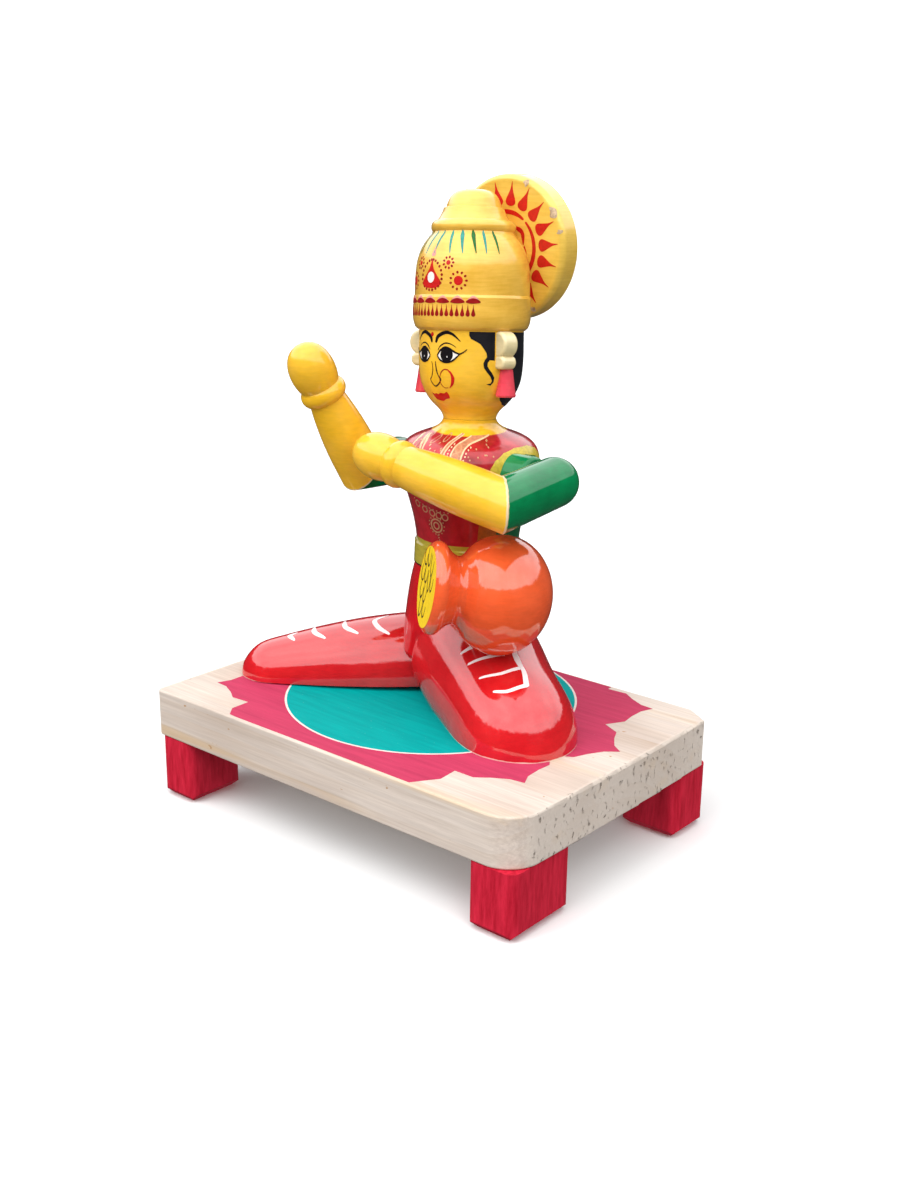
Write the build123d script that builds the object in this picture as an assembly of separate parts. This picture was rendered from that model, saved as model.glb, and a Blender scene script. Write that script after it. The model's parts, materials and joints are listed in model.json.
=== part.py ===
from build123d import *
from math import cos, radians, sin, sqrt
import os

# A turned and lacquered wooden toy: a woman seated cross-legged on a small pine stand, with a
# water pot on her left thigh. Millimetres, +Z up, origin on the ground under the stand's centre.
# The figure faces -Y, so her left side is +X.

# ---------------------------------------------------------------- driving dimensions
STAND_LENGTH = 178.0
STAND_WIDTH = 121.6
PLANK = 19.0                     # thickness of the pine plank
FOOT_HEIGHT = 25.4
DECK = FOOT_HEIGHT + PLANK       # top of the stand
END_BULGE = 1.2                  # the left end of the plank is slightly convex
WORN_CORNER = 13.0               # radius of the heavily rounded front left corner
SNIPPED_CORNER = 6.0             # facet on the back left corner
EDGE_SOFT = 0.9

BODY_Y = 20.8                    # the figure's turning axis stands behind the stand's centre
SKIRT_HEM = 62.0                 # the skirt's lower edge, where the hip block steps in to a stem
WAIST = 105.6                    # joint between the hip block and the torso
NECK = 151.5                     # joint between the torso and the head
HEAD_AXIS = Vector(-0.068, 0.091, 1).normalized()   # the head leans back and to her right
CROWN_BASE = 183.8               # heights on the head are taken along its leaning axis

PEG = 2.5                        # radius of the bamboo shoulder pegs
RUNNING_FIT = 0.05               # radial clearance of a peg that something turns on
GAP = 0.3                        # air between a moving piece and its neighbour

ARM = 9.3                        # radius of an arm at its elbow
BOSS = 7.9                       # radius of the shoulder bosses
LEFT_SHOULDER = Vector(42.0, 17.1, 134.4)
LEFT_ELBOW = Vector(43.0, -13.8, 132.0)
LEFT_FINGERTIP = Vector(-22.1, -16.0, 142.8)
RIGHT_SHOULDER = Vector(-37.5, 23.0, 130.0)
RIGHT_ELBOW = Vector(-33.8, -2.5, 132.6)
RIGHT_FINGERTIP = Vector(-42.0, -25.4, 178.9)
HAND = 20.0                      # length of a hand from the middle of its bangle

LEFT_THIGH = Vector(15.1, 12.1, 58.3)      # centre of the thigh near the hip, and its radius
LEFT_THIGH_RADIUS = 24.2
LEFT_KNEE = Vector(47.2, -6.0, 45.9)       # centre of the round knee, and its radius
LEFT_KNEE_RADIUS = 21.7
RIGHT_THIGH = Vector(-23.5, 21.8, 48.0)
RIGHT_THIGH_RADIUS = 21.6
RIGHT_KNEE = Vector(-67.1, -16.6, 44.8)
RIGHT_KNEE_RADIUS = 14.0
RIGHT_LIFT_SLOPE = 0.03                    # the right leg's flat rises a little towards the hip

POT = 21.7                       # radius of the pot's belly across its axis
POT_DEPTH = 18.6                 # half length of the belly along its axis
POT_CENTRE = Vector(34.3, -2.5, 95.4)
POT_AXIS = Vector(-0.627, -0.763, 0.156)

HALO_RADIUS = 26.3
HALO_THICK = 9.0
HALO_FRONT_ROUND = 2.2
HALO_BACK_ROUND = 0.8
HALO_HEIGHT = 212.3              # height of the halo's centre
HALO_SEAT = BODY_Y + 19.4        # plane where the halo meets the flat on the crown's back

EAR_ANGLE = 76.0                 # the ears sit this far round from the front, degrees
EARRING_ANGLE = 80.0
EARRING_OUT = 19.6               # distance of an earring's middle from the head's axis
EAR_TOP = CROWN_BASE - 0.1
EAR_MIDDLE = 174.8
EAR_FOOT = 170.3
EARRING_FOOT = 160.4
EAR_THICK = 6.2


# ---------------------------------------------------------------- helpers
def save(name, *solids):
    """Writes one node; several solids become a group in the same node."""
    shape = solids[0] if len(solids) == 1 else Compound(children=list(solids))
    export_step(shape, f"parts/{name}.step")


def turned(*edges):
    """A solid turned about +Z, from profile edges in the XZ plane that run from bottom to top."""
    bottom = edges[0] @ 0
    top = edges[-1] @ 1
    closing = [Line((0, 0, top.Z), (0, 0, bottom.Z))]
    if top.X > 1e-6:
        closing.append(Line(top, (0, 0, top.Z)))
    if bottom.X > 1e-6:
        closing.append(Line((0, 0, bottom.Z), bottom))
    return revolve(make_face(list(edges) + closing), Axis.Z).solid()


def curve(*points):
    """A smooth profile edge through (radius, height) points."""
    return Spline(*[(radius, 0, height) for radius, height in points])


def straight(*points):
    """Straight profile edges through (radius, height) points."""
    return [Line((a[0], 0, a[1]), (b[0], 0, b[1])) for a, b in zip(points, points[1:])]


def arc(start, middle, end):
    """A round profile edge through three (radius, height) points."""
    return ThreePointArc(*[(radius, 0, height) for radius, height in (start, middle, end)])


def aim(origin, direction):
    """Location that carries a solid turned about +Z onto another axis."""
    return Location(Plane(origin=origin, z_dir=direction))


def on_body(solid):
    """Carries a solid turned about +Z onto the figure's upright axis."""
    return Pos(0, BODY_Y, 0) * solid


def on_head(solid):
    """Carries a solid turned about +Z onto the head's leaning axis, heights kept at the neck."""
    sideways = Vector(HEAD_AXIS.Z, 0, -HEAD_AXIS.X)
    lean = Location(Plane(origin=(0, BODY_Y, NECK), x_dir=sideways, z_dir=HEAD_AXIS))
    return lean * Pos(0, 0, -NECK) * solid


def head_point(right, back, height):
    """A point of the head's leaning frame, in the stand's frame."""
    return on_head(Vertex(right, back, height)).center()


def rod(start, end, radius):
    """A plain round rod between two points."""
    length = (end - start).length
    return Solid.make_cylinder(radius, length, Plane(origin=start, z_dir=end - start))


def half_space(origin, direction):
    """A large block on the side of a plane that its direction points to."""
    size = 900.0
    block = Solid.make_box(size, size, size, Plane(origin=(-size / 2, -size / 2, 0)))
    return aim(origin, direction) * block


def cut(solid, *tools):
    """Takes the tools away from a solid and keeps the largest piece."""
    for tool in tools:
        solid = solid - tool
    return max(solid.solids(), key=lambda piece: piece.volume)


# ---------------------------------------------------------------- stand
def board():
    """The pine plank, with one worn corner, one snipped corner and a slightly convex end."""
    x = STAND_LENGTH / 2
    y = STAND_WIDTH / 2
    shoulder = x - END_BULGE
    outline = [
        Line((-x, y), (-x, -y)),
        Line((-x, -y), (shoulder, -y)),
        ThreePointArc((shoulder, -y), (x, 0), (shoulder, y)),
        Line((shoulder, y), (-x, y)),
    ]
    plank = extrude(Pos(0, 0, FOOT_HEIGHT) * make_face(outline), PLANK)
    front_left = plank.edges().filter_by(Axis.Z).sort_by_distance((x, -y, DECK))[0]
    plank = fillet(front_left, WORN_CORNER)
    back_left = plank.edges().filter_by(Axis.Z).sort_by_distance((x, y, DECK))[0]
    plank = chamfer(back_left, SNIPPED_CORNER, SNIPPED_CORNER * 1.5)
    right_end = plank.edges().filter_by(Axis.Z).filter_by_position(Axis.X, -x - 1, -x + 1)
    plank = fillet(right_end, 2.0)
    rims = plank.faces().sort_by(Axis.Z)[-1].edges() + plank.faces().sort_by(Axis.Z)[0].edges()
    return fillet(rims, EDGE_SOFT).solid()


FEET = {
    "foot_front_right": (-1, -1, 18.0, 26.5),
    "foot_front_left": (1, -1, 20.0, 33.0),
    "foot_back_left": (1, 1, 25.0, 22.0),
    "foot_back_right": (-1, 1, 18.0, 26.0),
}
FOOT_CHAMFER = 3.2
FOOT_ROUND = 4.5
FOOT_INSET = 0.2
FOOT_DOWEL = 3.0


def foot_centre(side_x, side_y, width, depth):
    end = STAND_LENGTH / 2 - (END_BULGE if side_x > 0 else 0) - FOOT_INSET
    x = side_x * (end - width / 2)
    y = side_y * (STAND_WIDTH / 2 - FOOT_INSET - depth / 2)
    return x, y


def foot(side_x, side_y, width, depth):
    """A sawn block with its lower edges chamfered and its upright edges rounded."""
    x, y = foot_centre(side_x, side_y, width, depth)
    block = Pos(x, y, FOOT_HEIGHT / 2) * Box(width, depth, FOOT_HEIGHT)
    block = chamfer(block.faces().sort_by(Axis.Z)[0].edges(), FOOT_CHAMFER)
    return fillet(block.edges().filter_by(Axis.Z), FOOT_ROUND).solid()


def foot_dowel(side_x, side_y, width, depth):
    x, y = foot_centre(side_x, side_y, width, depth)
    return rod(Vector(x, y, FOOT_HEIGHT - 14), Vector(x, y, FOOT_HEIGHT + 12), FOOT_DOWEL)


# ---------------------------------------------------------------- body
def hip_block():
    """Skirt and belt in one turned piece, on a narrower stem that stands on the deck."""
    stem = 14.0
    return on_body(turned(
        *straight((stem, DECK), (stem, SKIRT_HEM), (24.4, SKIRT_HEM)),
        curve((24.4, SKIRT_HEM), (24.2, 69.0), (23.3, 79.0), (21.6, 90.0), (20.1, 96.4)),
        *straight((20.1, 96.4), (20.5, 97.0), (20.2, WAIST - 0.5), (19.7, WAIST)),
    ))


def torso():
    """The bodice, from the waist over round shoulders to the neck."""
    shape = on_body(turned(
        curve((19.4, WAIST), (20.3, 112.0), (22.3, 120.4), (25.2, 130.0), (26.4, 137.0),
              (24.6, 142.0), (19.5, 145.4), (13.2, 148.0), (10.4, 150.4), (9.9, NECK + 2)),
    ))
    return cut(shape, half_space(Vector(0, BODY_Y, NECK), HEAD_AXIS))


def head():
    """The face with chin and neck, flat on top where the crown is glued on."""
    return on_head(turned(
        curve((9.8, NECK + 0.1), (10.6, 153.8), (14.0, 157.4), (16.4, 160.6), (18.2, 164.6),
              (19.1, 170.0), (19.3, 177.0), (19.2, CROWN_BASE)),
    ))


def crown():
    """A domed crown: rim band, dome, bead, collar and cap, flattened behind for the halo."""
    shape = turned(
        *straight((19.6, CROWN_BASE), (20.6, CROWN_BASE + 0.9)),
        curve((20.6, CROWN_BASE + 0.9), (21.5, 187.4), (21.6, 191.0), (21.5, 195.2)),
        *straight((21.5, 195.2), (21.1, 196.2)),
        curve((21.1, 196.2), (21.0, 201.0), (20.0, 209.3), (17.6, 214.6), (15.2, 217.6)),
        *straight((15.2, 217.6), (14.8, 218.5)),
        arc((14.8, 218.5), (15.4, 220.4), (14.2, 222.4)),
        *straight((14.2, 222.4), (13.0, 222.9)),
        curve((13.0, 222.9), (11.8, 224.8), (10.9, 227.0)),
        *straight((10.9, 227.0), (10.1, 227.3)),
        curve((10.1, 227.3), (9.3, 229.6), (7.4, 232.2), (4.0, 233.5), (0.0, 233.8)),
    )
    return cut(on_head(shape), half_space(Vector(0, HALO_SEAT, 0), Vector(0, 1, 0)))


def halo():
    """The thick disc behind the crown, with a worn round front edge."""
    disc = Solid.make_cylinder(HALO_RADIUS, HALO_THICK)
    back = disc.edges().filter_by(GeomType.CIRCLE).sort_by(Axis.Z)[-1]
    disc = fillet(back, HALO_BACK_ROUND)
    front = disc.edges().filter_by(GeomType.CIRCLE).sort_by(Axis.Z)[0]
    disc = fillet(front, HALO_FRONT_ROUND).solid()
    return aim(Vector(0, HALO_SEAT, HALO_HEIGHT), Vector(0, 1, 0)) * disc


# ---------------------------------------------------------------- ears
def around_head(side, radius, height, angle=EAR_ANGLE):
    """A point beside the head, given how far round it is from the front."""
    turn = radians(angle)
    return head_point(side * radius * sin(turn), -radius * cos(turn), height)


def lobe(foot, top, reach):
    """One round lobe of an ear, lying in the XY plane with +X outward and +Y up."""
    inner = 16.0
    shoulder = reach - (top - foot) / 2
    outline = [
        Line((inner, foot), (shoulder, foot)),
        ThreePointArc((shoulder, foot), (reach, (foot + top) / 2), (shoulder, top)),
        Line((shoulder, top), (inner, top)),
        Line((inner, top), (inner, foot)),
    ]
    plate = extrude(Pos(0, 0, -EAR_THICK / 2) * make_face(outline), EAR_THICK)
    return fillet(plate.edges().filter_by(GeomType.CIRCLE), 1.2).solid()


def ear(side):
    """Two stacked round lobes beside the head."""
    plate = (lobe(EAR_MIDDLE - 0.4, EAR_TOP, 24.3) + lobe(EAR_FOOT, EAR_MIDDLE + 0.4, 23.6)).solid()
    turn = EAR_ANGLE - 90 if side > 0 else -90 - EAR_ANGLE
    return on_head(Rot(0, 0, turn) * Rot(90, 0, 0) * plate)


def earring(side):
    """A small turned bell under the ear."""
    bell = turned(
        *straight((3.4, EARRING_FOOT), (3.7, EARRING_FOOT + 0.6)),
        curve((3.7, EARRING_FOOT + 0.6), (3.1, EARRING_FOOT + 4.5), (2.4, EAR_FOOT)),
    )
    turn = radians(EARRING_ANGLE)
    return on_head(Pos(side * EARRING_OUT * sin(turn), -EARRING_OUT * cos(turn), 0) * bell)


# ---------------------------------------------------------------- arms
def mitre(shoulder, elbow, fingertip):
    """Plane between the two arm pieces; its direction points to the forearm's side."""
    to_shoulder = (shoulder - elbow).normalized()
    to_fingertip = (fingertip - elbow).normalized()
    return elbow, (to_fingertip - to_shoulder).normalized()


def upper_arm(shoulder, elbow, fingertip):
    """A round bar with a domed shoulder end, cut at the elbow for the mitre."""
    length = (elbow - shoulder).length
    dome = ARM - 0.2
    bar = turned(
        arc((0, -dome), (dome * sin(0.8), -dome * cos(0.8)), (dome, 0)),
        *straight((dome, 0), (ARM, length), (ARM, length + 3 * ARM)),
    )
    origin, direction = mitre(shoulder, elbow, fingertip)
    return cut(aim(shoulder, elbow - shoulder) * bar, half_space(origin, direction))


def forearm(shoulder, elbow, fingertip, wrist):
    """A turned bar that narrows to a bangle and ends in a closed, egg-shaped hand."""
    bangle = (fingertip - elbow).length - HAND
    bar = turned(
        *straight((ARM, -3 * ARM), (ARM, 4.0)),
        curve((ARM, 4.0), ((ARM + wrist) / 2 + 0.5, bangle * 0.55), (wrist, bangle - 3.0)),
        arc((wrist, bangle - 3.0), (8.7, bangle), (7.5, bangle + 3.0)),
        curve((7.5, bangle + 3.0), (8.5, bangle + 7.5), (8.1, bangle + 13.0),
              (5.8, bangle + 17.6), (3.0, bangle + 19.5), (0.0, bangle + HAND)),
    )
    origin, direction = mitre(shoulder, elbow, fingertip)
    return cut(aim(elbow, fingertip - elbow) * bar, half_space(origin, direction * -1))


def elbow_dowel(shoulder, elbow, fingertip):
    origin, direction = mitre(shoulder, elbow, fingertip)
    return rod(origin - direction * 7, origin + direction * 7, PIN)


def bearing_flat(shoulder):
    """Distance from the body's middle plane to the flat that an arm bears with on its boss."""
    return abs(shoulder.X) - ARM + 1.2


def shoulder_boss(shoulder, side):
    """A short turned spacer between the torso and the arm, with an eased outer edge."""
    outer = bearing_flat(shoulder) - GAP
    start = Vector(side * 12, shoulder.Y, shoulder.Z)
    end = Vector(side * outer, shoulder.Y, shoulder.Z)
    boss = rod(start, end, BOSS)
    rim = boss.edges().filter_by(GeomType.CIRCLE).sort_by_distance(end)[0]
    return fillet(rim, 1.6).solid()


def shoulder_peg(shoulder, side, clearance=0.0):
    """The bamboo peg, or with a clearance the hole that an arm turns on."""
    start = Vector(side * (10 - clearance), shoulder.Y, shoulder.Z)
    end = Vector(side * (abs(shoulder.X) + 3 + clearance), shoulder.Y, shoulder.Z)
    return rod(start, end, PEG + clearance)


def arm_bore(shoulder, side):
    """The blind hole in an arm, a little deeper than its peg reaches."""
    start = Vector(side * 20, shoulder.Y, shoulder.Z)
    end = Vector(side * (abs(shoulder.X) + 4), shoulder.Y, shoulder.Z)
    return rod(start, end, PEG + RUNNING_FIT)


def bearing_cut(shoulder, side):
    """The block whose removal leaves the bearing flat on an arm."""
    origin = Vector(side * bearing_flat(shoulder), shoulder.Y, shoulder.Z)
    return half_space(origin, Vector(-side, 0, 0))


# ---------------------------------------------------------------- legs and pot
def leg(thigh, thigh_radius, knee, knee_radius, bulge, tip_reach, inner_reach, floor_plane):
    """A fat turned leg with a round knee, sawn flat underneath.

    tip_reach is how far the knee's end stands out, in knee radii."""
    length = (knee - thigh).length
    tip = length + knee_radius * tip_reach
    inner_round = 7.0
    back = -inner_reach
    bar = turned(
        *straight((0, back), (thigh_radius - inner_round, back)),
        arc((thigh_radius - inner_round, back),
            (thigh_radius - inner_round * (1 - sin(0.8)), back + inner_round * (1 - cos(0.8))),
            (thigh_radius, back + inner_round)),
        Spline(
            (thigh_radius, 0, back + inner_round),
            (thigh_radius, 0, 0),
            ((thigh_radius + knee_radius) / 2 + bulge, 0, length / 2),
            (knee_radius, 0, length),
            (knee_radius * 0.83, 0, length + (tip - length) * 0.5),
            (knee_radius * 0.48, 0, length + (tip - length) * 0.86),
            (0, 0, tip),
            tangents=[(0, 0, 1), (-1, 0, 0)],
        ),
    )
    return cut(aim(thigh, knee - thigh) * bar, floor_plane)


def pot():
    """A round-bellied water pot with a short neck, a flared rim and a flat painted mouth."""
    turns = [radians(angle) for angle in (-90, -68, -45, -22, 0, 22, 40, 54)]
    belly = [(POT * cos(turn), POT_DEPTH * sin(turn)) for turn in turns]
    throat = belly[-1]
    shape = turned(
        Spline(*[(radius, 0, height) for radius, height in belly], tangents=[(1, 0, 0), (-1, 0, 1)]),
        curve(throat, (12.3, throat[1] + 1.6), (13.6, 19.6), (16.3, 22.4)),
        arc((16.3, 22.4), (16.8, 24.4), (16.0, 26.2)),
        *straight((16.0, 26.2), (15.0, 27.0), (0, 26.6)),
    )
    return aim(POT_CENTRE, POT_AXIS) * shape


# ---------------------------------------------------------------- dowels and pins
TRUNK_DOWEL = 5.0                # radii of the bamboo that holds the pieces together
HEAD_DOWEL = 4.0
LEG_DOWEL = 3.0
PIN = 2.0
EAR_PIN = 0.8
HOOK = 0.5
SEAT_DOWEL_TOP = 76.0
WAIST_DOWEL_REACH = 18.0         # how far the waist dowel runs to each side of the joint
NECK_PEG_REACH = 16.0
CROWN_DOWEL_REACH = 11.0
HALO_PIN_HEIGHT = 202.0
EAR_PIN_HEIGHT = 179.0


def trunk_dowel(low, high):
    return rod(Vector(0, BODY_Y, low), Vector(0, BODY_Y, high), TRUNK_DOWEL)


def head_dowel(low, high, clearance=0.0):
    return rod(head_point(0, 0, low), head_point(0, 0, high), HEAD_DOWEL + clearance)


def halo_pin():
    start = Vector(0, HALO_SEAT - 10, HALO_PIN_HEIGHT)
    return rod(start, start + Vector(0, 16, 0), PIN)


def ear_pin(side):
    """Runs from inside the head out into the upper lobe."""
    start = around_head(side, 13, EAR_PIN_HEIGHT)
    return rod(start, around_head(side, 21.8, EAR_PIN_HEIGHT), EAR_PIN)


def earring_hook(side):
    """Runs from the earring up into the lower lobe."""
    low = around_head(side, EARRING_OUT + 1, EARRING_FOOT + 4, EARRING_ANGLE)
    high = around_head(side, EARRING_OUT + 1, EAR_MIDDLE - 0.8, EARRING_ANGLE)
    return rod(low, high, HOOK)


def left_leg_dowel():
    return rod(Vector(6, BODY_Y - 3, 56), Vector(30, 4, 53), LEG_DOWEL)


def right_leg_dowel():
    return rod(Vector(-6, BODY_Y, 55), Vector(-34, BODY_Y - 9, 53), LEG_DOWEL)


def pot_pin():
    """Runs from the pot's belly down into the thigh."""
    return rod(POT_CENTRE - Vector(1, -1, 8), POT_CENTRE - Vector(3.6, -3.2, 32), PIN)


# ---------------------------------------------------------------- assembly
def build():
    os.makedirs("parts", exist_ok=True)

    dowels = [foot_dowel(*size) for size in FEET.values()]
    seat_dowel = trunk_dowel(FOOT_HEIGHT + 4, SEAT_DOWEL_TOP)
    waist_dowel = trunk_dowel(WAIST - WAIST_DOWEL_REACH, WAIST + WAIST_DOWEL_REACH)
    neck_peg = head_dowel(NECK - NECK_PEG_REACH, NECK + NECK_PEG_REACH)
    neck_bore = head_dowel(NECK - 1, NECK + NECK_PEG_REACH + 1, RUNNING_FIT)
    crown_dowel = head_dowel(CROWN_BASE - CROWN_DOWEL_REACH, CROWN_BASE + CROWN_DOWEL_REACH)
    back_pin = halo_pin()

    save("board", cut(board(), seat_dowel, *dowels))
    for name, size in FEET.items():
        save(name, cut(foot(*size), *dowels))
    save("foot_dowels", *dowels)

    left_flat = half_space(Vector(0, 0, DECK), Vector(0, 0, -1))
    knee_edge = RIGHT_KNEE + (RIGHT_KNEE - RIGHT_THIGH).normalized() * RIGHT_KNEE_RADIUS
    slope = (RIGHT_THIGH - RIGHT_KNEE).normalized() * RIGHT_LIFT_SLOPE
    right_flat = half_space(Vector(knee_edge.X, knee_edge.Y, DECK + 0.2), Vector(slope.X, slope.Y, -1))
    hips = hip_block()
    left_leg = leg(LEFT_THIGH, LEFT_THIGH_RADIUS, LEFT_KNEE, LEFT_KNEE_RADIUS, -0.3, 1.0, 18, left_flat)
    right_leg = leg(RIGHT_THIGH, RIGHT_THIGH_RADIUS, RIGHT_KNEE, RIGHT_KNEE_RADIUS, 1.6, 1.03, 12,
                    right_flat)
    left_leg = cut(left_leg, hips)
    right_leg = cut(right_leg, hips, left_leg)
    left_dowel = left_leg_dowel()
    right_dowel = right_leg_dowel()
    pot_peg = pot_pin()

    bosses = {}
    pegs = {}
    left_joint = (LEFT_SHOULDER, LEFT_ELBOW, LEFT_FINGERTIP)
    right_joint = (RIGHT_SHOULDER, RIGHT_ELBOW, RIGHT_FINGERTIP)
    for side, name, joint, wrist in ((1, "left", left_joint, 7.6),
                                     (-1, "right", right_joint, 6.9)):
        shoulder = joint[0]
        pegs[name] = shoulder_peg(shoulder, side)
        bosses[name] = shoulder_boss(shoulder, side)
        dowel = elbow_dowel(*joint)
        bore = arm_bore(shoulder, side)
        flat = bearing_cut(shoulder, side)
        save(f"{name}_upper_arm", cut(upper_arm(*joint), dowel, bore, flat))
        save(f"{name}_forearm", cut(forearm(*joint, wrist), dowel))
        save(f"{name}_elbow_dowel", dowel)
        save(f"{name}_shoulder_peg", pegs[name])

    trunk = cut(torso(), waist_dowel, neck_peg, *pegs.values())
    for name in bosses:
        save(f"{name}_shoulder_boss", cut(bosses[name], trunk, torso(), pegs[name]))
    save("torso", trunk)
    save("waist_dowel", waist_dowel)
    save("neck_peg", neck_peg)

    save("hip_block", cut(hips, seat_dowel, waist_dowel, left_dowel, right_dowel))
    save("seat_dowel", seat_dowel)
    save("left_leg", cut(left_leg, left_dowel, pot_peg))
    save("right_leg", cut(right_leg, right_dowel))
    save("leg_dowels", left_dowel, right_dowel)
    save("pot", cut(pot(), left_leg, hips, trunk, pot_peg))
    save("pot_peg", pot_peg)

    skull = head()
    cap = crown()
    ear_pins = []
    hooks = []
    for side, name in ((1, "left"), (-1, "right")):
        pin = ear_pin(side)
        hook = earring_hook(side)
        ear_pins.append(pin)
        hooks.append(hook)
        save(f"{name}_ear", cut(ear(side), skull, cap, pin, hook))
        save(f"{name}_earring", cut(earring(side), skull, hook))
    save("ear_pins", *ear_pins)
    save("earring_hooks", *hooks)
    save("head", cut(skull, neck_bore, crown_dowel, *ear_pins))
    save("crown", cut(cap, crown_dowel, back_pin))
    save("crown_dowel", crown_dowel)
    save("halo", cut(halo(), back_pin))
    save("halo_pin", back_pin)


build()
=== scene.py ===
import json
import math
import random

import bmesh
import bpy
from mathutils import Matrix, Vector
from mathutils.bvhtree import BVHTree
from mathutils.geometry import delaunay_2d_cdt


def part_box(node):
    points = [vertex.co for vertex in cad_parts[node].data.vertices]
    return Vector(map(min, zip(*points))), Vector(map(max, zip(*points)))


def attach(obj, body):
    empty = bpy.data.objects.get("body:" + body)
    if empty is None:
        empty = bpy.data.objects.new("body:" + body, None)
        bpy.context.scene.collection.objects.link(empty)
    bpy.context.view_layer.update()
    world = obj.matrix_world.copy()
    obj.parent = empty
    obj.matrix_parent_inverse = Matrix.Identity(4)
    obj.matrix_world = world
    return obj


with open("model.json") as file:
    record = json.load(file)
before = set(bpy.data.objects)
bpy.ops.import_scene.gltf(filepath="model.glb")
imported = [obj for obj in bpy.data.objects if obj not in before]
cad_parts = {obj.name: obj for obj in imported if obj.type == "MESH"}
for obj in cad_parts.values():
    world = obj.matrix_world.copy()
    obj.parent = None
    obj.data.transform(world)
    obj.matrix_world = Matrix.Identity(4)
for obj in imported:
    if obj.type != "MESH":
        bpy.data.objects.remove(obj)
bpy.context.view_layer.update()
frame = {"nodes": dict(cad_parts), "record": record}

# A lacquered seated figure on a pine stand. The CAD solids keep their shapes; this script gives
# them their materials and adds the painted patterns as thin films that lie on their surfaces.

MM = 0.001
random.seed(11)

# -------- places taken from the frame
joints = {joint["name"]: joint for joint in frame["record"]["behaviour"]["joints"]}
NECK = Vector(joints["head_turn"]["pos_m"])
HEAD_AXIS = Vector(joints["head_turn"]["axis"]).normalized()
UP = Vector((0, 0, 1))
BOARD_LOW, BOARD_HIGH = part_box("board")
HALO_LOW, HALO_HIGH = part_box("halo")
HALO_CENTRE = Vector(((HALO_LOW[0] + HALO_HIGH[0]) / 2, HALO_LOW[1], (HALO_LOW[2] + HALO_HIGH[2]) / 2))
BELT_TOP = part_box("torso")[0][2]
POT_CENTRE = Vector((34.3 * MM, -2.5 * MM, 95.4 * MM))      # middle of the belly, as in the part's source
POT_AXIS = Vector((-0.627, -0.763, 0.156)).normalized()     # from there out of the mouth
POT_MOUTH = 14.6                                            # mm, radius of the painted mouth
BODICE_HEM = BELT_TOP + 1.7 * MM
BELT_FOOT = BELT_TOP - 8.0 * MM
NECKLINE = NECK.z - 3.9 * MM

# -------- colours (linear)
SKIN = (0.95, 0.53, 0.023)
ARM_SKIN = (0.95, 0.52, 0.016)
GOLD = (0.94, 0.50, 0.040)
HALO_GOLD = (0.92, 0.56, 0.065)
RED = (0.65, 0.007, 0.013)
CRIMSON = (0.60, 0.009, 0.030)
SILK = (0.42, 0.010, 0.014)
GREEN = (0.001, 0.23, 0.072)
ORANGE = (0.88, 0.105, 0.022)
CREAM = (0.86, 0.72, 0.40)
PINK = (0.86, 0.040, 0.085)
PAPER_WHITE = (0.88, 0.84, 0.80)
INK = (0.008, 0.006, 0.008)
HAIR = (0.008, 0.009, 0.014)
BROWN_INK = (0.05, 0.018, 0.010)
TEAL = (0.0, 0.335, 0.325)
LOTUS = (0.50, 0.048, 0.112)
OLIVE = (0.52, 0.43, 0.045)
PINE = (0.56, 0.475, 0.415)


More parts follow.
